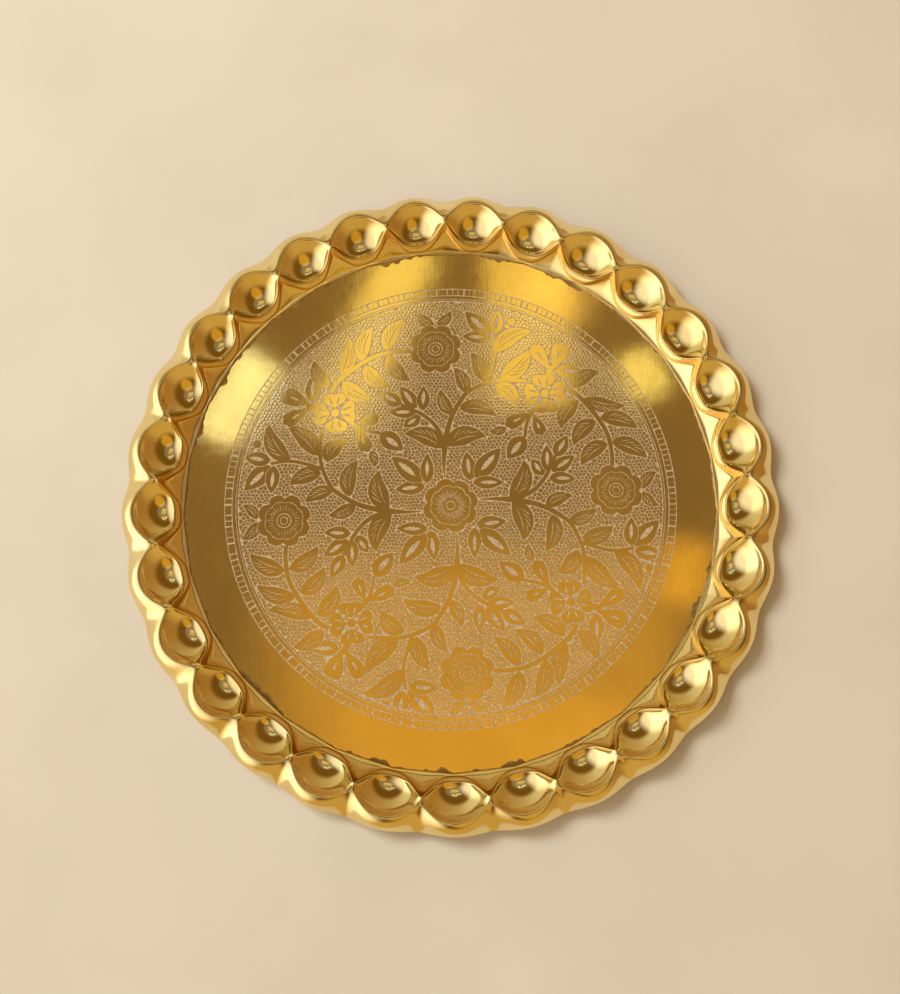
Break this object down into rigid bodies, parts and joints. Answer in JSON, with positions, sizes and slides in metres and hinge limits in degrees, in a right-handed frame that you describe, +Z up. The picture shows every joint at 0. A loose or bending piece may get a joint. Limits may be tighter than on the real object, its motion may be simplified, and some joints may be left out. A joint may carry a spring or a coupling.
{
  "type": "thali plate",
  "caption": "Round brass serving plate with a flat engraved floor and a raised border beaten into a ring of dimples with a scalloped edge; it stands free on its flat underside.",
  "frame": {"origin": "middle of the flat underside of the floor, where the plate rests on the table", "axes": "+Z up through the middle of the plate; one dimple of the border faces -Y, the side nearest the viewer"},
  "size_m": [0.3046, 0.3044, 0.015],
  "materials": {
    "engraved_brass": "polished, engraved",
    "beaten_brass": "beaten and polished",
    "brazing_metal": "dull"
  },
  "bodies": {
    "root": {"floor_disc": "engraved_brass", "dimpled_border": "beaten_brass", "brazed_seam": "brazing_metal"}
  },
  "joints": []
}
